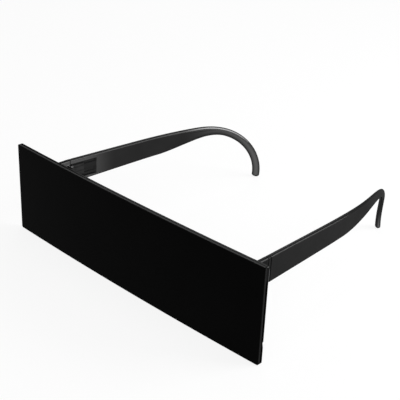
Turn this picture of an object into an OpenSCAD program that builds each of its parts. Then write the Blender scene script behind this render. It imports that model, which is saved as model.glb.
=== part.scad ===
// Sunglasses in the form of a plain black bar. A dark one-piece panel lies on a moulded frame,
// and two temples with ear hooks fold inwards on screwed leaf hinges behind the bar's ends.
// X runs along the bar, to the wearer's left, Y from the bar back to the ears, and Z up. The
// origin is the middle of the bar's bottom edge, halfway through its thickness. The glasses
// rest on that edge and on the two temple tips. Left and right are the wearer's.

/* [Bar] */
// Width of the bar
bar_w = 165; // [155:1:180]
// Height of the bar
bar_h = 47.2; // [44:0.1:56]
// How far the middle of the bar stands in front of its ends
bar_bow = 1.5; // [0.8:0.1:4]
// Radius of the bar's corners, seen from the front
bar_corner_r = 1; // [0.4:0.1:3]
// Thickness of the dark panel
panel_t = 1; // [0.8:0.1:1.6]
// Thickness of the frame's rim behind the panel
rim_t = 1.35; // [1.2:0.05:2.4]

/* [Eye windows] */
// Width of each eye window in the frame
window_w = 49; // [40:1:51]
// Height of each eye window
window_h = 37; // [30:1:38]
// Radius of the window corners
window_r = 7; // [3:0.5:12]
// Width of the bridge between the windows
bridge_w = 18; // [15:0.5:22]
// Height of the small slanted notch in each end of the rim
notch_h = 2.8; // [1:0.1:4]
// Depth of the end notches at their upper edge
notch_d = 0.5; // [0.3:0.1:2]
// Height of the notches above the bottom edge
notch_z = 8.2; // [6:0.1:16]

/* [Temples] */
// Distance between the two temples, middle to middle, at the hinges
temple_span = 133.7; // [125:0.1:140]
// How far the temples' top edge lies below the bar's top edge
temple_drop = 9; // [4:0.1:14]
// Height of the temple blade at the hinge
front_h = 13.2; // [12.4:0.1:15]
// Height of the blade where it starts to narrow to the hook
blade_h = 11.1; // [9:0.1:12.4]
// Thickness of the temple blade
blade_t = 2.6; // [2.6:0.1:4]
// Length of the temple from the hinge to the tip, along its top edge
temple_len = 149.2; // [135:0.1:160]
// Slope of the blade down to the ear, in degrees
droop = 1.6; // [0:0.1:3]
// Angle by which the blade runs inwards at the hinge, in degrees
toe_in = 2.9; // [0:0.1:5]
// Distance from the hinge at which the temple starts to turn further inwards
turn_start = 34.3; // [30:0.1:70]
// Angle through which it has turned inwards at the tip, in degrees
turn_angle = 51; // [20:1:60]
// How late the turn tightens: 1 is a plain arc
turn_power = 2.08; // [1:0.01:2.4]
// Radius of the blade's long edges
edge_r = 1.1; // [0.5:0.1:1.2]

/* [Ear hooks] */
// Distance from the hinge at which the hook starts to bend down
bend_start = 83.9; // [70:0.1:95]
// Angle through which the hook bends down, in degrees
bend_angle = 97.5; // [70:0.5:110]
// How late the bend tightens: 1 is a plain arc
bend_power = 1.55; // [1:0.01:2.2]
// Distance from the hinge at which the blade starts to narrow to the hook
taper_start = 57; // [40:0.1:70]
// Distance from the hinge at which it has narrowed to the hook
taper_end = 108.7; // [95:0.1:125]
// Height of the hook's section
hook_h = 4.5; // [3.5:0.1:6]
// Thickness of the hook's section
hook_t = 2.7; // [2.6:0.1:4]
// Length of the rounded tip
tip_round = 1.6; // [0.8:0.1:2.4]

/* [Hinges] */
// Distance from the bar's middle plane back to the hinge pins
hinge_reach = 20; // [16:0.5:26]
// Distance from a temple's inner face in to its hinge pin
pin_inset = 0.3; // [0.1:0.1:0.6]
// Diameter of the hinge pin
pin_d = 1.4; // [1.2:0.1:1.6]
// Diameter of the knuckles
knuckle_d = 3.2; // [3:0.1:3.6]
// Height of one knuckle
knuckle_h = 1.1; // [1:0.05:1.3]
// Thickness of the hinge leaves
leaf_t = 0.8; // [0.6:0.1:0.8]
// Length of each leaf from the pin
leaf_len = 8.5; // [7:0.5:12]
// Width of the ridges that stiffen a temple leaf
ridge_w = 0.9; // [0.6:0.1:1]
// Height of those ridges
ridge_h = 0.3; // [0.2:0.05:0.4]
// Diameter of the studs that hold the leaves
stud_d = 1.6; // [1.2:0.1:1.8]
// Length of the studs
stud_len = 0.8; // [0.6:0.1:1.1]
// Diameter of the screw head
screw_head_d = 2.6; // [2.2:0.1:3]
// Height of the screw head
screw_head_h = 0.7; // [0.5:0.1:1]
// Width of the slot in the screw head
slot_w = 0.5; // [0.4:0.1:0.8]
// Depth of that slot
slot_d = 0.35; // [0.2:0.05:0.4]

/* [Temple pockets] */
// Length of the pocket in the temple's inner face, from the pin
pocket_len = 17; // [14:0.5:24]
// Height of that pocket
pocket_h = 8.7; // [8.4:0.1:9.6]
// Depth of the pockets that hold the leaves
pocket_d = 0.9; // [0.9:0.05:1.2]
// Width of the upper rib in the pocket behind the leaf
upper_rib_w = 2.7; // [1.5:0.1:3]
// Height of its middle above the hinge's middle
upper_rib_z = 1.1; // [1:0.1:1.5]
// Width of the lower rib
lower_rib_w = 1.2; // [0.8:0.1:1.5]
// How far its middle lies below the hinge's middle
lower_rib_z = 3; // [2.5:0.1:3.3]
// Height of both ribs
rib_h = 0.6; // [0.3:0.1:0.8]
// Length of the slanted facet on the outer side of the temple's front end
facet_len = 2; // [1:0.1:3]
// Depth of that facet at its rear edge
facet_d = 0.6; // [0.3:0.1:1]

/* [End pieces] */
// Radius of the fillet where an end piece leaves the frame, inside
foot_r_in = 5; // [2:0.5:7]
// Radius of the same fillet outside
foot_r_out = 4; // [2:0.5:8]

/* [Nose rest] */
// Distance between the two pads, middle to middle
pad_span = 21; // [17:0.5:26]
// Distance from the bar's middle plane back to the pads
pad_reach = 11.5; // [9:0.5:14]
// Height of the pads' middle above the bar's bottom edge
pad_z = 25; // [20:0.5:30]
// Length of a pad
pad_len = 13; // [10:0.5:15]
// Width of a pad
pad_w = 7; // [5:0.5:8]
// Thickness of a pad
pad_t = 2.2; // [2:0.1:3]
// Angle by which the pads open towards the face, in degrees
pad_splay = 24; // [10:1:30]
// Angle by which the pads open downwards, in degrees
pad_flare = 14; // [5:1:20]
// Thickness of the arms that carry the pads
arm_t = 1.8; // [1.4:0.1:2.4]
// Height of the arms
arm_h = 5; // [4:0.5:7]
// Diameter of the button that holds a pad
button_d = 2.4; // [2:0.1:3]
// Length of the button
button_len = 1.2; // [0.8:0.1:1.5]

/* [Clearances] */
// Glue line between the panel and the rim
bond_gap = 0.05; // [0.02:0.01:0.1]
// Gap between an end piece and the temple's front end
butt_gap = 0.4; // [0.3:0.05:0.6]
// Play between the hinge pin and the knuckles, on the radius
pin_play = 0.05; // [0.02:0.01:0.1]
// Gap between neighbouring knuckles
knuckle_gap = 0.15; // [0.1:0.05:0.25]
// Room between the knuckles and the plastic round them
knuckle_room = 0.3; // [0.3:0.05:0.5]
// Room above and below a leaf in its pocket
leaf_room = 0.15; // [0.1:0.05:0.3]
// Seat gap of a leaf in its pocket and of a pad on its button
seat_gap = 0.05; // [0.02:0.01:0.1]

/* [Hidden] */

bar_t = panel_t + bond_gap + rim_t;
bar_r = (pow(bar_w / 2, 2) + pow(bar_bow, 2)) / (2 * bar_bow);
rim_front = -bar_t / 2 + panel_t + bond_gap;
temple_top = bar_h - temple_drop;
inner_x = temple_span / 2 - blade_t / 2;
outer_x = temple_span / 2 + blade_t / 2;

knuckle_count = 5;
frame_knuckles = [0, 2, 4];
temple_knuckles = [1, 3];
knuckle_pitch = knuckle_h + knuckle_gap;
hinge_h = knuckle_count * knuckle_h + (knuckle_count - 1) * knuckle_gap;
hinge_low = temple_top - front_h / 2 - hinge_h / 2;
pin_x = inner_x - pin_inset;
relief_r = knuckle_d / 2 + knuckle_room;
floor_x = pin_inset + pocket_d;
leaf_x = floor_x - seat_gap - leaf_t;
stud_rows = [hinge_h / 4, 3 * hinge_h / 4];
stud_at = (relief_r + leaf_len) / 2;

// Height of each rib's middle above the hinge's middle, and its width
ribs = [[upper_rib_z, upper_rib_w], [-lower_rib_z, lower_rib_w]];

ring_step = 3;
corner_n = 4;
tip_angles = [30, 55, 75, 88];
trim = bar_w / 4;
eps = 0.01;
$fn = 64;
corner_fn = 12;
bow_fn = 1440;

// Rise of the curved bar's middle plane at a distance x from its middle
function bow_back(x) = bar_r - sqrt(bar_r * bar_r - x * x);

// Smooth step from 0 to 1 while s runs from a to b
function ramp(s, a, b) =
    let (u = min(max((s - a) / (b - a), 0), 1))
    u * u * (3 - 2 * u);

// Direction of the temple's top edge in the side view, in degrees
function pitch(s) =
    let (u = max(s - bend_start, 0) / (temple_len - bend_start))
    -droop - bend_angle * pow(u, bend_power);

// Direction of the top edge seen from above, in degrees inwards
function heading(s) =
    let (u = max(s - turn_start, 0) / (temple_len - turn_start))
    toe_in + turn_angle * pow(u, turn_power);

// Unit vector along the top edge for a pitch p and a heading h
function edge_dir(p, h) = [-cos(p) * sin(h), cos(p) * cos(h), sin(p)];

// Distances from the hinge at which the temple's sections lie
curve_start = min(taper_start, turn_start);
curve_len = temple_len - tip_round - curve_start;
curve_steps = ceil(curve_len / ring_step);
stations = concat(
    [-blade_t],
    [for (i = [0 : curve_steps]) curve_start + curve_len * i / curve_steps],
    [for (a = tip_angles) temple_len - tip_round + tip_round * sin(a)]
);

// Points of the top edge, measured from its point above the hinge
edge_points = [
    for (
        i = 0, p = stations[0] * edge_dir(-droop, toe_in);
        i < len(stations);
        i = i + 1,
        step = i < len(stations) ? stations[i] - stations[i - 1] : 0,
        mid = i < len(stations) ? (stations[i] + stations[i - 1]) / 2 : 0,
        p = p + step * edge_dir(pitch(mid), heading(mid))
    ) p
];

// One rounded section of the temple as a closed ring of points
function section(i) =
    let (
        s = stations[i],
        p = pitch(s),
        h = heading(s),
        k = ramp(s, taper_start, taper_end),
        over = max(s - (temple_len - tip_round), 0) / tip_round,
        shrink = sqrt(max(1 - over * over, 0)),
        plain_h = blade_h + (front_h - blade_h) * max(1 - s / taper_start, 0),
        half_h = (plain_h + (hook_h - plain_h) * k) / 2,
        half_t = (blade_t + (hook_t - blade_t) * k) / 2,
        r_h = edge_r + (half_h - edge_r) * k,
        r_t = edge_r + (half_t - edge_r) * k,
        across = [cos(h), sin(h), 0],
        up = cross(across, edge_dir(p, h)),
        middle = [temple_span / 2, hinge_reach, temple_top] + edge_points[i] - up * half_h
    )
    [
        for (j = [0 : 4 * corner_n - 1])
        let (
            a = 90 * (j + 0.5) / corner_n,
            u = (half_t - r_t) * sign(cos(a)) + r_t * cos(a),
            v = (half_h - r_h) * sign(sin(a)) + r_h * sin(a)
        )
        middle + (across * u + up * v) * shrink
    ];

// Solid through a list of rings with equal numbers of points
module ring_solid(rings) {
    n = len(rings[0]);
    last = len(rings) - 1;
    sides = [
        for (i = [0 : last - 1])
        for (j = [0 : n - 1])
        for (half = [0, 1])
        let (
            a = i * n + j,
            b = i * n + (j + 1) % n,
            c = a + n,
            d = b + n
        )
        half == 0 ? [a, b, d] : [a, d, c]
    ];
    ends = [
        for (j = [1 : n - 2])
        for (end = [0, 1])
        end == 0 ? [0, j + 1, j] : [last * n, last * n + j, last * n + j + 1]
    ];
    points = [for (ring = rings) for (p = ring) p];
    polyhedron(points = points, faces = concat(sides, ends));
}

// Rectangle with round corners, its lower edge on the X axis
module round_rect(w, h, r) {
    translate([-w / 2 + r, 0])
        square([w - 2 * r, h]);
    translate([-w / 2, r])
        square([w, h - 2 * r]);
    for (x = [-w / 2 + r, w / 2 - r], y = [r, h - r])
        translate([x, y])
            circle(r = r);
}

// Shows the right-hand twin of a left-hand piece
module on_side(side) {
    mirror([side == "right" ? 1 : 0, 0, 0])
        children();
}

// Layer of the curved bar between two depths measured back from its front face
module bar_layer(front, back) {
    linear_extrude(bar_h)
        intersection() {
            translate([0, -bar_t / 2 + bar_r])
                difference() {
                    circle(r = bar_r - front, $fn = bow_fn);
                    circle(r = bar_r - back, $fn = bow_fn);
                }
            translate([-bar_w / 2, -trim])
                square([bar_w, 2 * trim]);
        }
}

// Block with the bar's outline that trims its layers
module bar_outline() {
    translate([0, trim, 0])
        rotate([90, 0, 0])
            linear_extrude(2 * trim)
                round_rect(bar_w, bar_h, bar_corner_r, $fn = corner_fn);
}

// Moves a piece to the hinge pin of one side
module at_hinge(side) {
    on_side(side)
        translate([pin_x, hinge_reach, hinge_low])
            children();
}

// Dark panel that makes the front of the bar
module bar_panel() {
    color([0.02, 0.02, 0.025])
        intersection() {
            bar_layer(0, panel_t);
            bar_outline();
        }
}

// Opening for one eye in the rim
module eye_window() {
    translate([(bridge_w + window_w) / 2, trim, (bar_h - window_h) / 2])
        rotate([90, 0, 0])
            linear_extrude(2 * trim)
                round_rect(window_w, window_h, window_r);
}

// Notch in one end of the rim: it slants in from below and ends in a level upper edge
module end_notch() {
    translate([bar_w / 2, trim, notch_z])
        rotate([90, 0, 0])
            linear_extrude(2 * trim)
                polygon([[0, 0], [-notch_d, notch_h], [notch_d, notch_h], [notch_d, 0]]);
}

// End piece that carries a hinge behind the bar
module end_piece() {
    root_y = bow_back(outer_x) + bar_t / 2;
    end_y = hinge_reach - butt_gap / 2;
    window_edge = bridge_w / 2 + window_w;
    r_in = min(foot_r_in, inner_x - window_edge, end_y - root_y);
    r_out = min(foot_r_out, end_y - root_y);
    translate([0, 0, temple_top - front_h])
        linear_extrude(front_h)
            difference() {
                translate([inner_x - r_in, root_y - rim_t / 2])
                    square([blade_t + r_in + r_out, end_y - root_y + rim_t / 2]);
                translate([inner_x - r_in, root_y + r_in])
                    circle(r = r_in);
                translate([inner_x - r_in - eps, root_y + r_in])
                    square([r_in + eps, end_y]);
                translate([outer_x + r_out, root_y + r_out])
                    circle(r = r_out);
                translate([outer_x, root_y + r_out])
                    square([r_out + eps, end_y]);
            }
}

// Room round the hinge's knuckles, and the holes for one leaf's studs
module hinge_room() {
    translate([0, 0, -screw_head_h - leaf_room])
        cylinder(r = relief_r, h = hinge_h + 2 * (screw_head_h + leaf_room));
    for (z = stud_rows)
        translate([leaf_x, stud_at, z])
            rotate([0, 90, 0])
                cylinder(d = stud_d + 2 * seat_gap, h = leaf_t + stud_len + 2 * seat_gap);
}

// Pocket for a leaf in an end piece
module end_pocket() {
    hinge_room();
    translate([-relief_r, 0, -leaf_room])
        cube([relief_r + floor_x, leaf_len + seat_gap, hinge_h + 2 * leaf_room]);
}

// Places a piece in the slanted frame of one nose pad
module at_pad(side) {
    on_side(side)
        translate([pad_span / 2, pad_reach, pad_z])
            rotate([0, -pad_flare, 0])
                rotate([0, 0, -pad_splay])
                    children();
}

// Arm that reaches back from the bridge and ends in the button for a pad
module pad_arm(side) {
    reach = (pad_reach + bar_t) / cos(pad_splay);
    difference() {
        at_pad(side) {
            translate([pad_t / 2 + seat_gap, -reach, -arm_h / 2])
                cube([arm_t, reach, arm_h]);
            translate([pad_t / 2 + seat_gap, 0, 0])
                rotate([0, 90, 0])
                    cylinder(d = arm_h, h = arm_t);
            translate([pad_t / 2 - button_len, 0, 0])
                rotate([0, 90, 0])
                    cylinder(d = button_d, h = button_len + arm_t / 2);
        }
        translate([-trim, rim_front + rim_t / 2 - trim, 0])
            cube([2 * trim, trim, bar_h]);
    }
}

// Moulded frame: rim with two eye windows, bridge, pad arms and end pieces
module front_frame() {
    color([0.04, 0.04, 0.045]) {
        difference() {
            intersection() {
                bar_layer(panel_t + bond_gap, bar_t);
                bar_outline();
            }
            for (side = ["left", "right"])
                on_side(side) {
                    eye_window();
                    end_notch();
                }
        }
        for (side = ["left", "right"]) {
            difference() {
                on_side(side)
                    end_piece();
                at_hinge(side)
                    mirror([0, 1, 0])
                        end_pocket();
            }
            pad_arm(side);
        }
    }
}

// Soft pad on its arm
module nose_pad(side) {
    color([0.09, 0.09, 0.095])
        at_pad(side)
            difference() {
                translate([-pad_t / 2, 0, 0])
                    rotate([0, 90, 0])
                        linear_extrude(pad_t) {
                            square([pad_len - pad_w, pad_w], center = true);
                            for (x = [-1, 1])
                                translate([x * (pad_len - pad_w) / 2, 0])
                                    circle(d = pad_w);
                        }
                translate([pad_t / 2 - button_len - seat_gap, 0, 0])
                    rotate([0, 90, 0])
                        cylinder(d = button_d + 2 * seat_gap, h = pad_t);
            }
}

// Hinge leaf with its knuckles and studs, reaching back from the pin
module hinge_leaf(knuckles, ridged) {
    difference() {
        union() {
            translate([leaf_x, relief_r, 0])
                cube([leaf_t, leaf_len - relief_r, hinge_h]);
            for (k = knuckles)
                translate([0, 0, k * knuckle_pitch]) {
                    cylinder(d = knuckle_d, h = knuckle_h);
                    translate([leaf_x, 0, 0])
                        cube([leaf_t, relief_r + eps, knuckle_h]);
                    if (ridged)
                        translate([leaf_x - ridge_h, relief_r, (knuckle_h - ridge_w) / 2])
                            cube([ridge_h + eps, leaf_len - relief_r, ridge_w]);
                }
            for (z = stud_rows)
                translate([leaf_x + leaf_t / 2, stud_at, z])
                    rotate([0, 90, 0])
                        cylinder(d = stud_d, h = leaf_t / 2 + stud_len);
        }
        translate([0, 0, -eps])
            cylinder(r = pin_d / 2 + pin_play, h = hinge_h + 2 * eps);
    }
}

// Leaf on the end piece
module frame_leaf(side) {
    color([0.3, 0.3, 0.31])
        at_hinge(side)
            mirror([0, 1, 0])
                hinge_leaf(frame_knuckles, false);
}

// Leaf in the temple's pocket
module temple_leaf(side) {
    color([0.3, 0.3, 0.31])
        at_hinge(side)
            rotate([0, 0, toe_in])
                hinge_leaf(temple_knuckles, true);
}

// Screw that is the hinge pin: a slotted head on the top knuckle and a plain shank
module hinge_screw(side) {
    color([0.4, 0.4, 0.41])
        at_hinge(side) {
            cylinder(d = pin_d, h = hinge_h);
            translate([0, 0, hinge_h])
                difference() {
                    cylinder(d = screw_head_d, h = screw_head_h);
                    translate([-screw_head_d / 2, -slot_w / 2, screw_head_h - slot_d])
                        cube([screw_head_d, slot_w, slot_d + eps]);
                }
        }
}

// Two ribs that stand in the temple's pocket behind the leaf
module pocket_ribs() {
    for (rib = ribs)
        translate([floor_x - rib_h, leaf_len + 2 * seat_gap, rib[0] - rib[1] / 2])
            cube([rib_h + eps, pocket_len, rib[1]]);
}

// Room that is cut out of a temple's inner face: the pocket slopes with the blade, and behind
// the leaf it has the ribs left standing
module temple_pocket() {
    hinge_room();
    translate([0, 0, hinge_h / 2])
        rotate([-droop, 0, 0])
            difference() {
                translate([-relief_r, 0, -pocket_h / 2])
                    cube([relief_r + floor_x, pocket_len, pocket_h]);
                pocket_ribs();
            }
}

// Temple: blade with the leaf's pocket and ribs, running into the ear hook
module temple(side) {
    color([0.1, 0.1, 0.105])
        on_side(side)
            difference() {
                ring_solid([for (i = [0 : len(stations) - 1]) section(i)]);
                translate([0, hinge_reach + butt_gap / 2 - trim, 0])
                    cube([bar_w, trim, 2 * bar_h]);
                translate([outer_x, hinge_reach + butt_gap / 2, 0])
                    rotate([0, 0, atan(facet_d / facet_len)])
                        translate([0, -facet_len, 0])
                            cube([trim, 2 * facet_len, 2 * bar_h]);
                at_hinge("left")
                    rotate([0, 0, toe_in])
                        temple_pocket();
            }
}

bar_panel();
front_frame();
nose_pad("left");  // left_nose_pad
nose_pad("right");  // right_nose_pad
frame_leaf("left");  // left_frame_leaf
frame_leaf("right");  // right_frame_leaf
hinge_screw("left");  // left_hinge_screw
hinge_screw("right");  // right_hinge_screw
temple_leaf("left");  // left_temple_leaf
temple_leaf("right");  // right_temple_leaf
temple("left");  // left_temple
temple("right");  // right_temple
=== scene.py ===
# Bar sunglasses: a black bar on a moulded frame, with two folding temples that end in ear hooks.
# Shapes are worked out in millimetres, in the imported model's frame: X along the bar to the
# wearer's left, Y back to the ears, Z up. Left and right are the wearer's.
import math
import bpy
import numpy as np
from mathutils import Matrix, Vector


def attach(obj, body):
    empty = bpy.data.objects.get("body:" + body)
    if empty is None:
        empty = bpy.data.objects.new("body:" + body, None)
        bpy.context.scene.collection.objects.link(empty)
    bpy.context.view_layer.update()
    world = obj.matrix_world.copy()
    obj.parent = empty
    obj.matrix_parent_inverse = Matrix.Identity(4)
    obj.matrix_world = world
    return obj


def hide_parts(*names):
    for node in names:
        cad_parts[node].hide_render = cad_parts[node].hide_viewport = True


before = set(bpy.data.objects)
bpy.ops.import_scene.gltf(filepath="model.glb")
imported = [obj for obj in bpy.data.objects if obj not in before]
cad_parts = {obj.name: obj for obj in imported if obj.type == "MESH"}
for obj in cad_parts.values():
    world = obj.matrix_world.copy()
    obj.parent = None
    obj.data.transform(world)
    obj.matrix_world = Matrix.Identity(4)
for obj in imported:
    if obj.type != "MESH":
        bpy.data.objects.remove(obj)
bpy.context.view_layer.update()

MM = 0.001
SIDES = {"left": 1.0, "right": -1.0}

# Bar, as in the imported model
BAR_W = 165.0
BAR_H = 47.2
BAR_BOW = 1.5
BAR_R = ((BAR_W / 2) ** 2 + BAR_BOW ** 2) / (2 * BAR_BOW)
PANEL_FRONT = -1.2
PANEL_BACK = -0.2
RIM_FRONT = -0.15
RIM_BACK = 1.2
CORNER_R = 1.0
PANEL_EDGE_R = 0.2
RIM_EDGE_R = 0.22
WINDOW_W = 49.0
WINDOW_H = 37.0
WINDOW_R = 7.0
WINDOW_EDGE_R = 0.35
BRIDGE_W = 18.0
NOTCH_Z = 8.2
NOTCH_H = 2.8
NOTCH_D = 0.5

# Temples and hinges
TEMPLE_SPAN = 133.7
TEMPLE_TOP = BAR_H - 9.0
FRONT_H = 13.2
BLADE_H = 11.1
BLADE_T = 2.6
BLADE_EDGE_R = 1.1
TEMPLE_LEN = 149.2
DROOP = math.radians(1.6)
TOE_IN = math.radians(2.9)
TURN_START = 34.3
TURN_ANGLE = math.radians(51.0)
TURN_POWER = 2.08
BEND_START = 83.9
BEND_ANGLE = math.radians(97.5)
BEND_POWER = 1.55
TAPER_START = 57.0
TAPER_END = 108.7
HOOK_H = 4.5
HOOK_T = 2.7
TIP_ROUND = 1.6
TEMPLE_SKIN = 0.004
HINGE_REACH = 20.0
HINGE_H = 6.1
PIN_INSET = 0.3
RELIEF_R = 1.9
RELIEF_HALF = HINGE_H / 2 + 0.85
LEAF_LEN = 8.5
POCKET_D = 0.9
SEAT_HALF = HINGE_H / 2 + 0.15
POCKET_HALF = 4.35
FLAT_HALF = FRONT_H / 2 - BLADE_EDGE_R
POCKET_LEN = 17.0
POCKET_SLOPE = 1.5
RIBS = ((-0.25, 2.45), (-3.6, -2.4))
RIB_H = 0.6
FACET_LEN = 2.0
FACET_D = 0.25
BUTT_GAP = 0.26
BUTT_EDGE_R = 0.1
TOE_ROOM = 0.07
UPRIGHT_LEN = 7.0
WALL_SLOPE = 0.05
LEVEL_ROWS = POCKET_LEN + 1
FOOT_R_IN = 5.0
FOOT_R_OUT = 4.0
FOOT_SUNK = 0.6

# Nose rest
PAD_SPAN = 21.0
PAD_REACH = 11.5
PAD_Z = 25.0
PAD_LEN = 13.0
PAD_W = 7.0
PAD_T = 2.2
PAD_CROWN = 0.3
PAD_ROUND = 0.8
PAD_POLE = 0.04
PAD_SPLAY = math.radians(24.0)
PAD_FLARE = math.radians(14.0)
ARM_T = 1.8
ARM_H = 5.0
ARM_GAP = 0.05
ARM_ROOT = 0.6
ARM_EDGE_R = 0.5
ARM_FLARE_LEN = 3.0
ARM_FLARE_H = 0.5
ARM_FLARE_T = 0.35

# Camera, fitted to the photograph's outlines
FOCAL_PX = 924.825
IMAGE_PX = 400
SENSOR_MM = 36.0
CAMERA_AT = Vector((279.4, -247.551, 230.682)) * MM
AZIMUTH = math.radians(43.335)
ELEVATION = math.radians(26.187)
ROLL = math.radians(2.471)
PIXEL_CENTRE = 0.5

# Fineness of the meshes
QUARTERS = (0, 90, 180, 270)
ARC_STEPS = 6
CORNER_STEPS = 7
RIM_RAYS = 144
COURSE_STEPS = 3000
PAD_RAYS = 17
COARSE_ARC = np.radians([0, 30, 60, 90])
TIP_ARC = np.radians(np.linspace(0, 88, 12))
STRIPS = (0.2, 0.4, 0.6, 0.8)
NEAR_SEAM = 1e-4
ON_SEAM = 1e-6
WELD_DIGITS = 5
SHARP_ANGLE = math.radians(38.0)


# Meshes

def grid_faces(rows, columns, closed_rows=False):
    """Quads between neighbouring rows of a grid whose columns close on themselves."""
    last = rows if closed_rows else rows - 1
    i, j = np.meshgrid(np.arange(last), np.arange(columns), indexing="ij")
    down = (i + 1) % rows
    right = (j + 1) % columns
    corners = (i * columns + j, i * columns + right, down * columns + right, down * columns + j)
    return np.stack(corners, -1).reshape(-1, 4)


def lofted(rings):
    """Closed shell through rings of equal length, an array (ring, point, 3): quads between
    neighbouring rings and one flat face over the first and the last."""
    rows, columns = rings.shape[:2]
    quads = grid_faces(rows, columns).tolist()
    first = np.arange(columns)[::-1].tolist()
    last = (np.arange(columns) + (rows - 1) * columns).tolist()
    return rings.reshape(-1, 3), quads + [first, last]


def signed_volume(points, faces):
    """Sum over the faces' triangle fans of corner . (corner x corner) / 6."""
    size = max(len(f) for f in faces)
    total = 0.0
    for n in range(3, size + 1):
        same = np.array([f for f in faces if len(f) == n])
        if len(same):
            a = points[same[:, :1]]
            b = points[same[:, 1:-1]]
            c = points[same[:, 2:]]
            total += float((a * np.cross(b, c)).sum()) / 6
    return total


def outward(shell):
    """The shell with its faces turned outwards."""
    points, faces = shell
    if signed_volume(points, faces) < 0:
        faces = [list(f)[::-1] for f in faces]
    return points, faces


def on_side(shell, side):
    """A left-hand shell, or its mirror image in the plane X = 0."""
    points, faces = shell
    return outward((points * np.array([SIDES[side], 1.0, 1.0]), faces))


def welded(points, faces):
    """Points that agree to a hundred-thousandth of a millimetre become one."""
    keys, index = np.unique(np.round(points, WELD_DIGITS), axis=0, return_inverse=True)
    index = index.reshape(-1)
    return keys, [[int(index[i]) for i in f] for f in faces]


def make_piece(name, shells, body, nodes, material):
    """One object from closed shells in millimetres, smooth up to the sharp angle."""
    points, faces, base = [], [], 0
    for shell_points, shell_faces in shells:
        points.append(shell_points)
        faces += [[i + base for i in f] for f in shell_faces]
        base += len(shell_points)
    mesh = bpy.data.meshes.new(name)
    mesh.from_pydata((np.vstack(points) * MM).tolist(), [], faces)
    mesh.validate()
    mesh.shade_smooth()
    mesh.set_sharp_from_angle(angle=SHARP_ANGLE)
    mesh.materials.append(material)
    piece = bpy.data.objects.new(name, mesh)
    bpy.context.scene.collection.objects.link(piece)
    even = piece.modifiers.new("even_normals", "WEIGHTED_NORMAL")
    even.keep_sharp = True
    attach(piece, body)
    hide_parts(*nodes)


# Bar panel

def bow_back(x):
    """How far the bar's middle plane lies behind its foremost point at x: R - sqrt(R^2 - x^2)."""
    return BAR_R - np.sqrt(BAR_R ** 2 - x ** 2)


def arc_inset(x, end, radius):
    """How far a rounded corner has drawn in at x: r - sqrt(r^2 - (x - (end - r))^2) past end - r."""
    over = np.clip(np.abs(x) - (end - radius), 0, radius)
    return radius - np.sqrt(radius ** 2 - over ** 2)


def rounded_section(half_t, half_h, radius):
    """A rounded rectangle at each station, counter-clockwise: the middles of its four corners
    plus the radius in the directions of a quarter circle each. Returns thickness and height."""
    angle = np.radians(np.concatenate([q + np.linspace(0, 90, ARC_STEPS) for q in QUARTERS]))
    across = (half_t - radius) * np.repeat([1, -1, -1, 1], ARC_STEPS) + radius * np.cos(angle)
    height = (half_h - radius) * np.repeat([1, 1, -1, -1], ARC_STEPS) + radius * np.sin(angle)
    return across, height


def bar_panel_shell():
    """An upright rounded rectangle carried along X on the bow's arc. Towards each end its
    height draws in on the corner's arc, and its thickness and edge radius on the edge's arc."""
    half_w = BAR_W / 2
    quarter = np.linspace(0, np.pi / 2, CORNER_STEPS)
    corner = half_w - CORNER_R + CORNER_R * np.sin(quarter)
    edge = half_w - PANEL_EDGE_R + PANEL_EDGE_R * np.sin(quarter)
    middle = np.linspace(0, half_w - CORNER_R, 60)
    right = np.unique(np.round(np.concatenate([middle, corner, edge]), 6))
    x = np.concatenate([-right[:0:-1], right])
    edge_in = arc_inset(x, half_w, PANEL_EDGE_R)
    half_h = BAR_H / 2 - arc_inset(x, half_w, CORNER_R)
    half_t = (PANEL_BACK - PANEL_FRONT) / 2 - edge_in
    radius = PANEL_EDGE_R - edge_in
    y, z = rounded_section(half_t[:, None], half_h[:, None], radius[:, None])
    y += ((PANEL_FRONT + PANEL_BACK) / 2 + bow_back(x))[:, None]
    rings = np.stack([np.broadcast_to(x[:, None], y.shape), y, z + BAR_H / 2], -1)
    return lofted(rings)


# Moulded frame

def rounded_outline(half_w, half_h, radius):
    """Rounded rectangle about the origin as points from 0 degrees on, counter-clockwise."""
    quarter = np.radians(np.linspace(0, 90, 10))
    arcs = []
    for turn, sx, sz in ((0, 1, 1), (90, -1, 1), (180, -1, -1), (270, 1, -1)):
        a = quarter + math.radians(turn)
        arcs.append(np.stack([sx * (half_w - radius) + radius * np.cos(a),
                              sz * (half_h - radius) + radius * np.sin(a)], -1))
    return np.vstack(arcs)


def reach(outline, angles):
    """Distance from the origin to a closed outline in each direction: the ray's crossing with
    the edge between the two corners that it passes."""
    turn = np.unwrap(np.arctan2(outline[:, 1], outline[:, 0]))
    turn = np.append(turn, turn[0] + 2 * np.pi)
    corners = np.vstack([outline, outline[:1]])
    asked = (angles - turn[0]) % (2 * np.pi) + turn[0]
    at = np.clip(np.searchsorted(turn, asked, side="right") - 1, 0, len(outline) - 1)
    start = corners[at]
    edge = corners[at + 1] - start
    ray = np.stack([np.cos(angles), np.sin(angles)], -1)
    crossed = start[:, 0] * edge[:, 1] - start[:, 1] * edge[:, 0]
    return crossed / (ray[:, 0] * edge[:, 1] - ray[:, 1] * edge[:, 0])


def loop_normals(loop):
    """Outward normals of a closed counter-clockwise loop, square to the chord past each point."""
    chord = np.roll(loop, -1, axis=0) - np.roll(loop, 1, axis=0)
    normal = np.stack([chord[:, 1], -chord[:, 0]], -1)
    return normal / np.linalg.norm(normal, axis=1, keepdims=True)


def rolled_edge(loop, inward, radius, shares, depth, towards):
    """Rows round an edge, for each share s: the loop drawn in by r (1 - s), and its depth off
    the face by r (1 - sqrt(1 - s^2))."""
    return [(loop + inward * radius * (1 - s),
             depth + towards * radius * (1 - math.sqrt(1 - s * s))) for s in shares]


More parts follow.
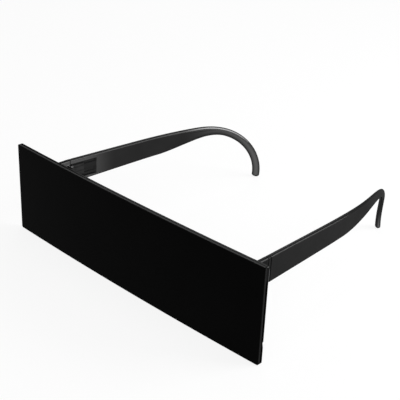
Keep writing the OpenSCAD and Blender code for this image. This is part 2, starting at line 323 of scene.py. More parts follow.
def rim_shell():
    """Half of the rim is a band round one eye window: its section runs up the window's wall,
    across the front to the outline, round that edge and back across the rear. The other half
    is its mirror image, and both share their points in the plane X = 0."""
    half_w = BAR_W / 2
    middle = np.array([(BRIDGE_W + WINDOW_W) / 2, BAR_H / 2])
    window = rounded_outline(WINDOW_W / 2, WINDOW_H / 2, WINDOW_R)
    quarter = np.radians(np.linspace(0, 90, ARC_STEPS))
    upper = np.stack([half_w - CORNER_R + CORNER_R * np.cos(quarter),
                      BAR_H - CORNER_R + CORNER_R * np.sin(quarter)], -1)
    lower = np.stack([half_w - CORNER_R + CORNER_R * np.sin(quarter),
                      CORNER_R - CORNER_R * np.cos(quarter)], -1)
    notch = np.array([[half_w, NOTCH_Z], [half_w - NOTCH_D, NOTCH_Z + NOTCH_H],
                      [half_w, NOTCH_Z + NOTCH_H]])
    outline = np.vstack([notch, upper, [[0, BAR_H], [0, 0]], lower]) - middle
    even = np.linspace(-np.pi, np.pi, RIM_RAYS + 1)[:-1]
    marks = np.arctan2(outline[:, 1], outline[:, 0])
    angles = np.unique(np.round(np.concatenate([even, marks]), 9))
    ray = np.stack([np.cos(angles), np.sin(angles)], -1)
    inner = ray * reach(window, angles)[:, None] + middle
    outer = ray * reach(outline, angles)[:, None] + middle
    inner_out = loop_normals(inner)
    outer_out = loop_normals(outer)
    seam = np.abs(outer[:, 0]) < NEAR_SEAM
    outer[seam, 0] = 0.0
    outer_out[seam] = 0.0
    outer_out[seam & (outer[:, 1] < NEAR_SEAM)] = (0.0, -1.0)
    outer_out[seam & (outer[:, 1] > BAR_H - NEAR_SEAM)] = (0.0, 1.0)

    rising = np.sin(COARSE_ARC)
    falling = np.cos(COARSE_ARC)
    near = inner + inner_out * WINDOW_EDGE_R
    far = outer - outer_out * RIM_EDGE_R
    rows = rolled_edge(inner, inner_out, WINDOW_EDGE_R, rising, RIM_BACK, -1)
    rows += rolled_edge(inner, inner_out, WINDOW_EDGE_R, falling, RIM_FRONT, 1)
    rows += [(near + (far - near) * t, RIM_FRONT) for t in STRIPS]
    rows += rolled_edge(outer, -outer_out, RIM_EDGE_R, rising, RIM_FRONT, 1)
    rows += rolled_edge(outer, -outer_out, RIM_EDGE_R, falling, RIM_BACK, -1)
    rows += [(near + (far - near) * t, RIM_BACK) for t in STRIPS[::-1]]

    plane = np.array([p for p, _ in rows])
    depth = np.array([y for _, y in rows])[:, None]
    points = np.stack([plane[..., 0], depth + bow_back(plane[..., 0]), plane[..., 1]], -1)
    faces = grid_faces(len(rows), len(angles), closed_rows=True)
    points = points.reshape(-1, 3)
    faces = faces[(np.abs(points[faces, 0]) > ON_SEAM).any(axis=1)]
    both = np.vstack([points, points * np.array([-1.0, 1.0, 1.0])])
    return outward(welded(both, np.vstack([faces, faces[:, ::-1] + len(points)]).tolist()))


def step_pairs(places):
    """Each place twice, a little before and a little after it, so that a step there is steep."""
    places = np.asarray(places)
    return np.sort(np.concatenate([places - WALL_SLOPE / 2, places + WALL_SLOPE / 2]))


def pocket_depth(back, height, length, half, ribs, slope):
    """Depth of the inner face's recess at a distance back from the pin and a height from the
    hinge's middle: the leaf's pocket, whose floor slopes up to its far end and bears ribs
    behind the leaf, and round the pin the part of a cylinder that stands past the face."""
    rise = np.clip((length - back) / slope, 0, 1)
    depth = np.where(np.abs(height) < half, POCKET_D * rise, 0.0)
    for low, high in ribs:
        on_rib = (back > LEAF_LEN) & (height > low) & (height < high)
        depth = np.where(on_rib, np.minimum(depth, POCKET_D - RIB_H), depth)
    round_pin = np.sqrt(np.clip(RELIEF_R ** 2 - back ** 2, 0, None)) - PIN_INSET
    relief = np.where(np.abs(height) < RELIEF_HALF, round_pin, 0.0)
    return np.maximum(depth, relief)


def section_points(edges):
    """Parameters of a blade's section, counter-clockwise from the outer face's middle, with the
    inner face divided at the given heights from the hinge's middle. For each point: the corner
    it belongs to (-1, 0 or 1 across and up), its direction in the corner's arc, and its angle
    on the ellipse into which the section turns."""
    rows = step_pairs(edges) / FLAT_HALF
    arc = np.linspace(0, 90, CORNER_STEPS)
    flat = 10.0
    spread = flat + arc * (90 - 2 * flat) / 90
    points = [(1, 0.0, 1, 0, 0.0), (1, 0.5, 1, 0, flat / 2)]
    points += [(1, 1, *cos_sin(a), e) for a, e in zip(arc, spread)]
    points += [(0, 1, 0, 1, 90.0)]
    points += [(-1, 1, *cos_sin(90 + a), 90 + e) for a, e in zip(arc, spread)]
    points += [(-1, f, -1, 0, 180 - f * flat) for f in rows[::-1]]
    points += [(-1, -1, *cos_sin(180 + a), 180 + e) for a, e in zip(arc, spread)]
    points += [(0, -1, 0, -1, 270.0)]
    points += [(1, -1, *cos_sin(270 + a), 270 + e) for a, e in zip(arc, spread)]
    points += [(1, -0.5, 1, 0, 360 - flat / 2)]
    return np.array(points, float)


def cos_sin(degrees):
    """Cosine and sine of an angle in degrees."""
    return math.cos(math.radians(degrees)), math.sin(math.radians(degrees))


def end_piece_shell():
    """The blade's rounded rectangle carried back from the rim to the hinge. Next to the rim
    it widens on the two fillets' arcs, and its inner face holds the leaf's pocket."""
    root = float(bow_back(TEMPLE_SPAN / 2)) + RIM_BACK
    end = HINGE_REACH - BUTT_GAP / 2
    edge = BUTT_EDGE_R
    heights = (-RELIEF_HALF, -SEAT_HALF, SEAT_HALF, RELIEF_HALF)
    fillet = root + FOOT_R_IN * (1 - np.cos(np.radians(np.linspace(0, 90, 14))))
    pocket = step_pairs([HINGE_REACH - LEAF_LEN - WALL_SLOPE])
    relief = HINGE_REACH - RELIEF_R * np.cos(np.radians(np.linspace(0, 80, 9)))
    closing = end - edge + edge * np.sin(COARSE_ARC)
    y = np.concatenate([[root - FOOT_SUNK], fillet, pocket, relief, closing])
    y = np.unique(np.round(y[y <= end], 6))
    over_in = np.clip(root + FOOT_R_IN - y, 0, FOOT_R_IN)
    over_out = np.clip(root + FOOT_R_OUT - y, 0, FOOT_R_OUT)
    grown_in = FOOT_R_IN - np.sqrt(FOOT_R_IN ** 2 - over_in ** 2)
    grown_out = FOOT_R_OUT - np.sqrt(FOOT_R_OUT ** 2 - over_out ** 2)
    drawn = arc_inset(y, end, edge)[:, None]
    cx, cz, ax, az, _ = section_points(heights).T
    radius = BLADE_EDGE_R - drawn
    half_h = FRONT_H / 2 - drawn
    half_t = BLADE_T / 2 - drawn + np.where(cx < 0, grown_in[:, None], grown_out[:, None])
    across = np.sign(cx) * (half_t - radius) + radius * ax
    height = cz * (half_h - radius) + radius * az
    face = (cx < 0) & (np.abs(cz) < 1)
    back = HINGE_REACH - y[:, None]
    depth = pocket_depth(back, height, LEAF_LEN + 1.5 * WALL_SLOPE, SEAT_HALF, (), WALL_SLOPE)
    across = across + np.where(face, depth, 0.0)
    x = TEMPLE_SPAN / 2 + across
    z = TEMPLE_TOP - FRONT_H / 2 + height
    return lofted(np.stack([x, np.broadcast_to(y[:, None], x.shape), z], -1))


def pad_frame(points):
    """Points of a left pad's own frame, thickness, width and length, put where it sits."""
    turn = Matrix.Rotation(-PAD_FLARE, 3, "Y") @ Matrix.Rotation(-PAD_SPLAY, 3, "Z")
    at = np.array([PAD_SPAN / 2, PAD_REACH, PAD_Z])
    return points @ np.array(turn).T + at


def pad_arm_shell():
    """A rounded bar from inside the bridge back to behind the pad. It flares into the bridge
    with the square of the distance, and its end is a half circle seen from the side."""
    begin = -(PAD_REACH - ARM_ROOT) / math.cos(PAD_SPLAY)
    rounded = ARM_H / 2 * np.sin(TIP_ARC)
    y = np.concatenate([np.linspace(begin, 0, 24)[:-1], rounded])
    flare = np.clip(1 - (y - begin) / ARM_FLARE_LEN, 0, 1) ** 2
    half_h = np.where(y > 0, np.sqrt(np.clip((ARM_H / 2) ** 2 - y ** 2, 0, None)), ARM_H / 2)
    half_h = (half_h + ARM_FLARE_H * flare)[:, None]
    half_t = (ARM_T / 2 + ARM_FLARE_T * flare)[:, None]
    x, z = rounded_section(half_t, half_h, np.minimum(ARM_EDGE_R, half_h * 0.9))
    x = x + PAD_T / 2 + ARM_GAP + ARM_T / 2
    rings = np.stack([x, np.broadcast_to(y[:, None], x.shape), z], -1)
    return lofted(pad_frame(rings.reshape(-1, 3)).reshape(rings.shape))


# Nose pads

def nose_pad_shell():
    """Stadium-shaped rings from the middle of one face over the rounded edge to the middle of
    the other. The faces are crowned with the square of the distance from the middle line."""
    half_w = PAD_W / 2
    inset = np.linspace(half_w - PAD_POLE, PAD_ROUND, 12)
    edge_x = PAD_T / 2 - PAD_CROWN
    crown = PAD_T / 2 - PAD_CROWN * ((half_w - inset) / (half_w - PAD_ROUND)) ** 2
    over_edge = np.radians(np.linspace(15, 165, 11))
    inset = np.concatenate([inset, PAD_ROUND * (1 - np.sin(over_edge)), inset[::-1]])
    x = np.concatenate([crown, edge_x * np.cos(over_edge), -crown[::-1]])
    around = np.radians(np.linspace(0, 180, PAD_RAYS))
    side = np.repeat([1, -1], PAD_RAYS)
    turn = np.concatenate([around, around + np.pi])
    radius = (half_w - inset)[:, None]
    y = radius * np.cos(turn)
    z = side * (PAD_LEN - PAD_W) / 2 + radius * np.sin(turn)
    rings = np.stack([np.broadcast_to(x[:, None], y.shape), y, z], -1)
    return lofted(pad_frame(rings.reshape(-1, 3)).reshape(rings.shape))


# Temples

def ramp(s, start, end):
    """Smooth step from 0 to 1 while s runs from start to end: u^2 (3 - 2u)."""
    u = np.clip((s - start) / (end - start), 0, 1)
    return u * u * (3 - 2 * u)


def direction(pitch, heading):
    """Unit vectors back along a temple: turned inwards by the heading and up by the pitch."""
    level = np.cos(pitch)
    return np.stack([-level * np.sin(heading), level * np.cos(heading), np.sin(pitch)], -1)


def top_edge(s):
    """Course of a temple's top edge: its pitch falls and its heading turns inwards with a power
    of the distance from where the bend and the turn begin, and its points are the running
    sum of those directions. Returns points, pitches and headings at the distances s."""
    fine = np.linspace(0, TEMPLE_LEN, COURSE_STEPS)
    bend = np.clip(fine - BEND_START, 0, None) / (TEMPLE_LEN - BEND_START)
    turn = np.clip(fine - TURN_START, 0, None) / (TEMPLE_LEN - TURN_START)
    pitch = -DROOP - BEND_ANGLE * bend ** BEND_POWER
    heading = TOE_IN + TURN_ANGLE * turn ** TURN_POWER
    way = direction(pitch, heading)
    steps = (way[1:] + way[:-1]) / 2 * np.diff(fine)[:, None]
    course = np.vstack([np.zeros(3), np.cumsum(steps, axis=0)])
    at = np.stack([np.interp(s, fine, course[:, k]) for k in range(3)], -1)
    return at, np.interp(s, fine, pitch), np.interp(s, fine, heading)


def temple_stations():
    """Distances from the hinge at which the sections lie: close together at the front end,
    the facet, the pocket and the tip, and even between them."""
    front = BUTT_GAP / 2 + TOE_ROOM
    closing = front + BUTT_EDGE_R * (1 - np.cos(COARSE_ARC))
    facet = step_pairs([FACET_LEN])
    relief = RELIEF_R * np.sin(np.radians(np.linspace(20, 90, 10)))
    pocket = np.append(step_pairs([LEAF_LEN]), [POCKET_LEN - POCKET_SLOPE, POCKET_LEN])
    even = np.arange(3.0, TEMPLE_LEN - TIP_ROUND, 1.0)
    tip = TEMPLE_LEN - TIP_ROUND + TIP_ROUND * np.sin(TIP_ARC)
    s = np.unique(np.round(np.concatenate([closing, facet, relief, pocket, even, tip]), 6))
    return s, front


def temple_shell():
    """A section carried along the top edge and hung under it: a rounded rectangle at the hinge
    that blends into the hook's ellipse, with the outer facet at its front end and the pocket
    in its inner face. As far as the pocket reaches, the inner face's rows keep their distance
    from the top edge. The first sections are sheared upright, to meet the end piece squarely."""
    s, front = temple_stations()
    at, pitch, heading = top_edge(s)
    k = ramp(s, TAPER_START, TAPER_END)[:, None]
    short = np.clip(front + BUTT_EDGE_R - s, 0, BUTT_EDGE_R)
    drawn = (BUTT_EDGE_R - np.sqrt(np.clip(BUTT_EDGE_R ** 2 - short ** 2, 0, None)))[:, None]
    over = np.clip(s - (TEMPLE_LEN - TIP_ROUND), 0, None) / TIP_ROUND
    shrink = np.sqrt(np.clip(1 - over ** 2, 0, 1))[:, None]
    plain_h = BLADE_H + (FRONT_H - BLADE_H) * np.clip(1 - s / TAPER_START, 0, 1)[:, None]
    full_h = (plain_h + (HOOK_H - plain_h) * k) / 2 - TEMPLE_SKIN
    full_t = (BLADE_T + (HOOK_T - BLADE_T) * k) / 2 - TEMPLE_SKIN
    facet = np.where(s < FACET_LEN, FACET_D * (s - front) / (FACET_LEN - front), 0.0)[:, None]
    rib_edges = [h for rib in RIBS for h in rib]
    heights = sorted([-POCKET_HALF, -RELIEF_HALF, *rib_edges, RELIEF_HALF, POCKET_HALF])
    cx, cz, ax, az, ellipse = section_points(heights).T
    half_h = full_h - drawn
    half_t = full_t - drawn - np.where(cx > 0, facet, 0.0) - np.where(cx == 0, facet / 2, 0.0)
    radius = BLADE_EDGE_R - drawn
    across = np.sign(cx) * (half_t - radius) + radius * ax
    height = cz * (half_h - radius) + radius * az
    face = (cx < 0) & (np.abs(cz) < 1)
    level = cz * FLAT_HALF
    along = level + full_h - FRONT_H / 2
    loose = ramp(s, LEVEL_ROWS, TAPER_START)[:, None]
    height = np.where(face, along + (height - along) * loose, height)
    depth = pocket_depth(s[:, None], level, POCKET_LEN, POCKET_HALF, RIBS, POCKET_SLOPE)
    across = across + np.where(face, depth, 0.0)
    turn = np.radians(ellipse)
    across = ((1 - k) * across + k * full_t * np.cos(turn)) * shrink
    height = ((1 - k) * height + k * full_h * np.sin(turn)) * shrink
    side = np.stack([np.cos(heading), np.sin(heading), 0 * heading], -1)
    up = np.cross(side, direction(pitch, heading))
    middle = np.array([TEMPLE_SPAN / 2, HINGE_REACH, TEMPLE_TOP]) + at - up * (full_h + TEMPLE_SKIN)
    points = middle[:, None] + side[:, None] * across[..., None] + up[:, None] * height[..., None]
    lean = math.tan(DROOP) * np.clip(1 - s / UPRIGHT_LEN, 0, 1)[:, None]
    points[..., 1] += lean * (full_h - height)
    return lofted(points)


# Materials

def put(tree, value, socket):
    """A number or another socket's value given to a socket."""
    if hasattr(value, "is_linked"):
        tree.links.new(value, socket)
    else:
        socket.default_value = value


def math_node(tree, operation, first, second):
    """One arithmetic step between two sockets or numbers."""
    node = tree.nodes.new("ShaderNodeMath")
    node.operation = operation
    put(tree, first, node.inputs[0])
    put(tree, second, node.inputs[1])
    return node.outputs[0]


def held(tree, value, low, high):
    """A value held between two limits."""
    return math_node(tree, "MINIMUM", math_node(tree, "MAXIMUM", value, low), high)


def passed(tree, value, least, fade, most=1.0):
    """How far a value has passed a limit, in fades, from 0 to the most."""
    over = math_node(tree, "SUBTRACT", value, least)
    return held(tree, math_node(tree, "DIVIDE", over, fade), 0.0, most)


def smooth_range(tree, value, start, end, low, high):
    """A value between start and end put between low and high by the smooth step u^2 (3 - 2u)."""
    span = tree.nodes.new("ShaderNodeMapRange")
    span.interpolation_type = "SMOOTHSTEP"
    tree.links.new(value, span.inputs["Value"])
    for label, limit in zip(("From Min", "From Max", "To Min", "To Max"), (start, end, low, high)):
        put(tree, limit, span.inputs[label])
    return span.outputs["Result"]


def apart(tree, place):
    """The three coordinates of a place."""
    split = tree.nodes.new("ShaderNodeSeparateXYZ")
    tree.links.new(place, split.inputs["Vector"])
    return split.outputs


def own_place(tree):
    """The piece's own coordinates, in metres."""
    return tree.nodes.new("ShaderNodeTexCoord").outputs["Object"]


def own_noise(tree, scale, detail):
    """Noise from 0 to 1 on the piece's own coordinates."""
    noise = tree.nodes.new("ShaderNodeTexNoise")
    noise.inputs["Detail"].default_value = detail
    tree.links.new(own_place(tree), noise.inputs["Vector"])
    tree.links.new(scale, noise.inputs["Scale"])
    return noise


def new_group(name, inputs, output):
    """A shader node group with named number inputs and one output, the sockets that its
    inputs arrive on, and the socket that its output leaves by."""
    group = bpy.data.node_groups.new(name, "ShaderNodeTree")
    for label, value in inputs.items():
        socket = group.interface.new_socket(label, in_out="INPUT", socket_type="NodeSocketFloat")
        socket.default_value = value
    group.interface.new_socket(output, in_out="OUTPUT", socket_type="NodeSocketFloat")
    given = group.nodes.new("NodeGroupInput").outputs
    return group, given, group.nodes.new("NodeGroupOutput").inputs[output]


def cloudy_group():
    """Even value that drifts in soft patches: centre + spread (noise - 1/2)."""
    group, given, result = new_group("cloudy", {"Scale": 80.0, "Centre": 0.3, "Spread": 0.1}, "Value")
    off = math_node(group, "SUBTRACT", own_noise(group, given["Scale"], detail=3.0).outputs["Fac"], 0.5)
    spread = math_node(group, "MULTIPLY", off, given["Spread"])
    put(group, math_node(group, "ADD", spread, given["Centre"]), result)
    return group


def moulded_group():
    """Height of a moulded surface: slow waves from shrinkage plus a share of a fine grain."""
    inputs = {"Waves": 90.0, "Grain": 3000.0, "Share": 0.15}
    group, given, result = new_group("moulded", inputs, "Height")
    waves = own_noise(group, given["Waves"], detail=1.0)
    grain = own_noise(group, given["Grain"], detail=2.0)
    fine = math_node(group, "MULTIPLY", grain.outputs["Fac"], given["Share"])
    put(group, math_node(group, "ADD", waves.outputs["Fac"], fine), result)
    return group


def rubbed_group():
    """Mask of fine rubbed spots: 8 (noise + amount - 1), held between 0 and 1."""
    group, given, result = new_group("rubbed", {"Scale": 900.0, "Amount": 0.35}, "Mask")
    noise = own_noise(group, given["Scale"], detail=5.0)
    noise.inputs["Roughness"].default_value = 0.7
    over = math_node(group, "ADD", noise.outputs["Fac"], given["Amount"])
    sharp = math_node(group, "MULTIPLY", math_node(group, "SUBTRACT", over, 1.0), 8.0)
    put(group, held(group, sharp, 0.0, 1.0), result)
    return group


def polished_group():
    """Weight of a gloss coat: a low value all over, plus a full value times a power of
    1 - facing where Y has passed the polished stretch's start, by a smooth step."""
    inputs = {"From": 0.085, "To": 0.115, "Low": 0.15, "Full": 0.9, "Narrow": 1.0, "Facing": 0.0}
    group, given, result = new_group("polished", inputs, "Weight")
    back = apart(group, own_place(group))["Y"]
    along = smooth_range(group, back, given["From"], given["To"], 0.0, given["Full"])
    slant = math_node(group, "SUBTRACT", 1.0, given["Facing"])
    gloss = math_node(group, "MULTIPLY", along, math_node(group, "POWER", slant, given["Narrow"]))
    put(group, math_node(group, "ADD", gloss, given["Low"]), result)
    return group


SOFT_FADE = 0.001
SHARP_FADE = 0.0001


def handled_group():
    """Weight of a local shine, as on the inner faces next to the hinges: an amount times smooth
    steps up and down along Y, outside a least |X|, under a top height, and only where |X| stays
    under the face's own value, which falls with the toe-in behind the hinge."""
    inputs = {"Rise From": 0.004, "Rise To": 0.012, "Fall From": 0.026, "Fall To": 0.05, "Least": 0.06,
              "Face": 0.06566, "Hinge": 0.02, "Toe": 0.0507, "Top": 1.0, "Amount": 0.3}
    group, given, result = new_group("handled", inputs, "Weight")
    own = apart(group, own_place(group))
    across = math_node(group, "ABSOLUTE", own["X"], 0.0)
    behind = math_node(group, "MAXIMUM", math_node(group, "SUBTRACT", own["Y"], given["Hinge"]), 0.0)
    toe = math_node(group, "MULTIPLY", behind, given["Toe"])
    shares = (smooth_range(group, own["Y"], given["Rise From"], given["Rise To"], 0.0, 1.0),
              smooth_range(group, own["Y"], given["Fall From"], given["Fall To"], 1.0, 0.0),
              passed(group, across, given["Least"], SOFT_FADE),
              passed(group, given["Face"], math_node(group, "ADD", across, toe), SHARP_FADE),
              passed(group, given["Top"], own["Z"], SOFT_FADE))
    weight = given["Amount"]
    for share in shares:
        weight = math_node(group, "MULTIPLY", weight, share)
    put(group, weight, result)
    return group


def painted_edge_light_group():
    """Mask of painted light on an upright sheet's edges: 0 on its faces, 1 where |Z - middle| passes
    half its height and a share of that where |X| passes half its width, within a short fade."""
    inputs = {"Half Width": 0.0823, "Half Height": 0.02345, "Middle": 0.0236, "Fade": 0.0001,
              "Ends": 0.5}
    group, given, result = new_group("painted_edge_light", inputs, "Mask")
    own = apart(group, own_place(group))
    across = math_node(group, "ABSOLUTE", own["X"], 0.0)
    level = math_node(group, "ABSOLUTE", math_node(group, "SUBTRACT", own["Z"], given["Middle"]), 0.0)
    ends = passed(group, across, given["Half Width"], given["Fade"], given["Ends"])
    top = passed(group, level, given["Half Height"], given["Fade"])
    put(group, math_node(group, "MAXIMUM", ends, top), result)
    return group


CLOUDY = cloudy_group()
MOULDED = moulded_group()
RUBBED = rubbed_group()
POLISHED = polished_group()
HANDLED = handled_group()
PAINTED_EDGE_LIGHT = painted_edge_light_group()


def use_group(tree, group, output, **values):
    """The output of a node group placed with its own input numbers or sockets."""
    node = tree.nodes.new("ShaderNodeGroup")
    node.node_tree = group
    for label, value in values.items():
        put(tree, value, node.inputs[label])
    return node.outputs[output]


def grey(value):
    """A grey, given as light from 0 to 1."""
    return (value, value, value, 1.0)


def mixed(tree, first, second, factor):
    """One colour turned into another by a mask."""
    mix = tree.nodes.new("ShaderNodeMix")
    mix.data_type = "RGBA"
    put(tree, first, mix.inputs["A"])
    put(tree, second, mix.inputs["B"])
    tree.links.new(factor, mix.inputs["Factor"])
    return mix.outputs["Result"]


COAT_IOR = 2.6
COAT_ROUGHNESS = 0.08
WORN_PATCH = 0.6
WORN_CENTRE = 0.35
WORN_SPREAD = 1.4


def finish(name, colour, worn, wear, roughness, spread, patch, bump, specular=0.5, metallic=0.0,
           painted_edge_colour=None, painted_edge_at=None, polished=None, shines=()):
    """A finish of one colour that is rubbed to another in spots. Its roughness drifts in patches, and
    waves and grain give its relief, with the bump's depth in metres. A finish with a painted edge
    colour has another colour painted on a sheet's edges, a painted highlight where it is lighter and
    painted shade where it is darker, and a polished one a gloss coat with local shines, of which a
    negative one takes gloss away."""
    material = bpy.data.materials.new(name)
    material.use_nodes = True
    tree = material.node_tree
    shader = tree.nodes["Principled BSDF"].inputs
    spots = use_group(tree, RUBBED, "Mask", Amount=wear)
    patches = use_group(tree, CLOUDY, "Value", Scale=patch * WORN_PATCH, Centre=WORN_CENTRE,
                        Spread=WORN_SPREAD)
    shown = mixed(tree, colour, worn, math_node(tree, "MAXIMUM", spots, patches))
    # Painted light on the sheet's edges: a lighter painted highlight on the panel, a darker painted
    # shade on the frame's ends.
    if painted_edge_colour:
        shown = mixed(tree, shown, painted_edge_colour, use_group(tree, PAINTED_EDGE_LIGHT, "Mask", **(painted_edge_at or {})))
    put(tree, shown, shader["Base Color"])
    rough = use_group(tree, CLOUDY, "Value", Scale=patch, Centre=roughness, Spread=spread)
    put(tree, rough, shader["Roughness"])
    relief = tree.nodes.new("ShaderNodeBump")
    relief.inputs["Strength"].default_value = 1.0
    relief.inputs["Distance"].default_value = bump
    put(tree, use_group(tree, MOULDED, "Height"), relief.inputs["Height"])
    put(tree, relief.outputs["Normal"], shader["Normal"])
    shader["Specular IOR Level"].default_value = specular
    shader["Metallic"].default_value = metallic
    if polished:
        facing = tree.nodes.new("ShaderNodeLayerWeight").outputs["Facing"]
        weight = use_group(tree, POLISHED, "Weight", Facing=facing, **polished)
        for place in shines:
            weight = math_node(tree, "ADD", weight, use_group(tree, HANDLED, "Weight", **place))
        put(tree, math_node(tree, "MAXIMUM", weight, 0.0), shader["Coat Weight"])
        shader["Coat IOR"].default_value = COAT_IOR
        shader["Coat Roughness"].default_value = COAT_ROUGHNESS
    return material


INNER_SHINE = {"Amount": 0.3}
FACET_SHINE = {"Amount": 0.28, "Top": 0.0325, "Rise From": 0.0199, "Rise To": 0.0202,
               "Fall From": 0.0218, "Fall To": 0.022, "Least": 0.0669, "Face": 1.0, "Toe": 0.0}
DULL_END = {"Amount": -0.085, "Top": 0.0405, "Rise From": -0.02, "Rise To": -0.01,
            "Fall From": 0.05, "Fall To": 0.06, "Least": 0.0814, "Face": 1.0, "Toe": 0.0}
FRAME_GLOSS = {"From": -0.02, "To": -0.01, "Low": 0.0, "Full": 0.085, "Narrow": 1.0}
HOOK_GLOSS = {"From": 0.095, "To": 0.118, "Low": 0.055, "Full": 1.0, "Narrow": 8.0}

# Painted highlight: the panel's top and bottom edges are painted a lighter grey, and its ends half as
# much.
PANEL_BLACK = finish("panel_black", grey(0.003), grey(0.0045), wear=0.3, roughness=0.3, spread=0.08,
                     patch=60.0, bump=2e-6, specular=0.006, painted_edge_colour=grey(0.038))
# Painted shade: the frame's ends, beyond 82.3 mm from the middle, are painted a darker black; its top
# and bottom keep the frame's colour.
FRAME_BLACK = finish("frame_black", grey(0.007), grey(0.011), wear=0.34, roughness=0.24, spread=0.1,
                     patch=120.0, bump=6e-6, specular=0.0, painted_edge_colour=grey(0.002),
                     painted_edge_at={"Half Height": 1.0, "Ends": 1.0}, polished=FRAME_GLOSS,
                     shines=(INNER_SHINE, DULL_END))
TEMPLE_CHARCOAL = finish("temple_charcoal", grey(0.011), grey(0.019), wear=0.36, roughness=0.16,
                         spread=0.1, patch=110.0, bump=1.2e-5, specular=0.0, polished=HOOK_GLOSS,
                         shines=(INNER_SHINE, FACET_SHINE))
PAD_SILICONE = finish("pad_silicone", grey(0.028), grey(0.045), wear=0.4, roughness=0.62,
                      spread=0.12, patch=200.0, bump=6e-6, specular=0.35)
HINGE_LACQUER = finish("hinge_lacquer", grey(0.012), grey(0.04), wear=0.36, roughness=0.34,
                       spread=0.2, patch=400.0, bump=4e-6, metallic=0.85)
SCREW_STEEL = finish("screw_steel", grey(0.2), grey(0.35), wear=0.42, roughness=0.28, spread=0.15,
                     patch=600.0, bump=3e-6, metallic=1.0)


# Pieces

make_piece("bar_panel_sheet", [outward(bar_panel_shell())], "front", ["bar_panel"],
           PANEL_BLACK)
moulding = [rim_shell()]
for hand in SIDES:
    moulding.append(on_side(end_piece_shell(), hand))
    moulding.append(on_side(pad_arm_shell(), hand))
make_piece("frame_moulding", moulding, "front", ["front_frame"], FRAME_BLACK)
for hand in SIDES:
    make_piece(hand + "_pad_soft", [on_side(nose_pad_shell(), hand)], "front", [hand + "_nose_pad"],
               PAD_SILICONE)
    make_piece(hand + "_temple_arm", [on_side(temple_shell(), hand)], hand + "_arm", [hand + "_temple"],
               TEMPLE_CHARCOAL)
    for node, material in (("_frame_leaf", HINGE_LACQUER), ("_temple_leaf", HINGE_LACQUER),
                           ("_hinge_screw", SCREW_STEEL)):
        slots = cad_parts[hand + node].data.materials
        slots.clear()
        slots.append(material)


# Floor, light and camera

WHITE = grey(1.0)
FLOOR_HALF = 4.0
FLOOR_TONE = 0.12
FLOOR_GLOW = 0.86
SKY_LOW = 0.9
SKY_HIGH = 0.12
SKY_FADE = (0.05, 0.28)
AIM = Vector((0.0, 0.05, 0.02))
CLOSEST = 0.01


def shown_only(tree):
    """1 for rays from the camera, for glossy and for transmitted ones, and 0 for the rest."""
    path = tree.nodes.new("ShaderNodeLightPath").outputs
    seen = math_node(tree, "ADD", path["Is Camera Ray"], path["Is Glossy Ray"])
    seen = math_node(tree, "ADD", seen, path["Is Transmission Ray"])
    return math_node(tree, "MINIMUM", seen, 1.0)


def paper_material():
    """A floor that takes shadows as a matte grey, and looks nearly white by its own glow."""
    paper = bpy.data.materials.new("paper")
    paper.use_nodes = True
    tree = paper.node_tree
    tree.nodes.clear()
    matte = tree.nodes.new("ShaderNodeBsdfDiffuse")
    matte.inputs["Color"].default_value = grey(FLOOR_TONE)
    glow = tree.nodes.new("ShaderNodeEmission")
    glow.inputs["Color"].default_value = WHITE
    put(tree, math_node(tree, "MULTIPLY", shown_only(tree), FLOOR_GLOW), glow.inputs["Strength"])
    both = tree.nodes.new("ShaderNodeAddShader")
    put(tree, matte.outputs[0], both.inputs[0])
    put(tree, glow.outputs[0], both.inputs[1])
    put(tree, both.outputs[0], tree.nodes.new("ShaderNodeOutputMaterial").inputs["Surface"])
    return paper


def studio_sky():
    """A white surround, brightest near the horizon, that falls off with the height."""
    world = bpy.data.worlds.new("studio")
    world.use_nodes = True
    tree = world.node_tree
    sky = tree.nodes["Background"].inputs
    sky["Color"].default_value = WHITE
    height = apart(tree, tree.nodes.new("ShaderNodeTexCoord").outputs["Generated"])["Z"]
    put(tree, smooth_range(tree, height, *SKY_FADE, SKY_LOW, SKY_HIGH), sky["Strength"])
    return world


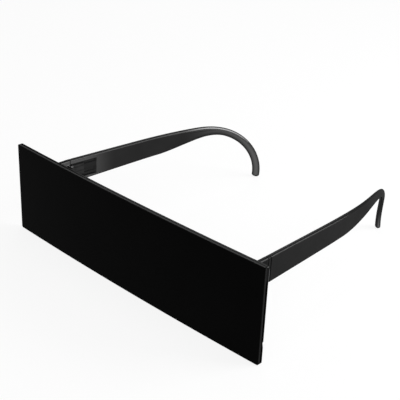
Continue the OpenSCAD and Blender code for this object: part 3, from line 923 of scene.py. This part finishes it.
def soft_box(name, at, size, watts):
    """A square area lamp at a point in metres, turned to the middle of the object."""
    lamp = bpy.data.lights.new(name, "AREA")
    lamp.size = size
    lamp.energy = watts
    holder = bpy.data.objects.new(name, lamp)
    bpy.context.scene.collection.objects.link(holder)
    holder.location = at
    holder.rotation_euler = (AIM - Vector(at)).to_track_quat("-Z", "Y").to_euler()
    holder.visible_camera = False


def fitted_camera():
    """The photograph's camera: azimuth and elevation give its line of sight, and the roll turns
    its level and upright axes about that line."""
    fwd = Vector((-math.sin(AZIMUTH) * math.cos(ELEVATION),
                  math.cos(AZIMUTH) * math.cos(ELEVATION), -math.sin(ELEVATION)))
    level = fwd.cross(Vector((0, 0, 1))).normalized()
    upright = level.cross(fwd)
    right = math.cos(ROLL) * level + math.sin(ROLL) * upright
    above = -math.sin(ROLL) * level + math.cos(ROLL) * upright
    data = bpy.data.cameras.new("camera")
    data.sensor_width = SENSOR_MM
    data.lens = FOCAL_PX * SENSOR_MM / IMAGE_PX
    data.shift_x = -PIXEL_CENTRE / IMAGE_PX
    data.shift_y = PIXEL_CENTRE / IMAGE_PX
    data.clip_start = CLOSEST
    turned = Matrix((right, above, -fwd)).transposed().to_4x4()
    camera = bpy.data.objects.new("camera", data)
    camera.matrix_world = Matrix.Translation(CAMERA_AT) @ turned
    bpy.context.scene.collection.objects.link(camera)
    return camera


floor_mesh = bpy.data.meshes.new("floor")
floor_corners = [(x * FLOOR_HALF, y * FLOOR_HALF, 0) for x, y in ((-1, -1), (1, -1), (1, 1), (-1, 1))]
floor_mesh.from_pydata(floor_corners, [], [(0, 1, 2, 3)])
floor_mesh.materials.append(paper_material())
floor = bpy.data.objects.new("floor", floor_mesh)
bpy.context.scene.collection.objects.link(floor)

bpy.context.scene.world = studio_sky()
soft_box("soft_box_above", at=(0.1, 0.1, 1.3), size=1.2, watts=9.0)
soft_box("soft_box_front", at=(0.9, -0.9, 0.9), size=1.0, watts=6.0)
soft_box("soft_box_behind", at=(-0.66, 0.79, 0.62), size=0.5, watts=2.3)
soft_box("soft_box_right", at=(0.454, 0.48, 0.358), size=0.42, watts=4.4)
bpy.context.scene.camera = fitted_camera()
bpy.context.scene.view_settings.view_transform = "Standard"
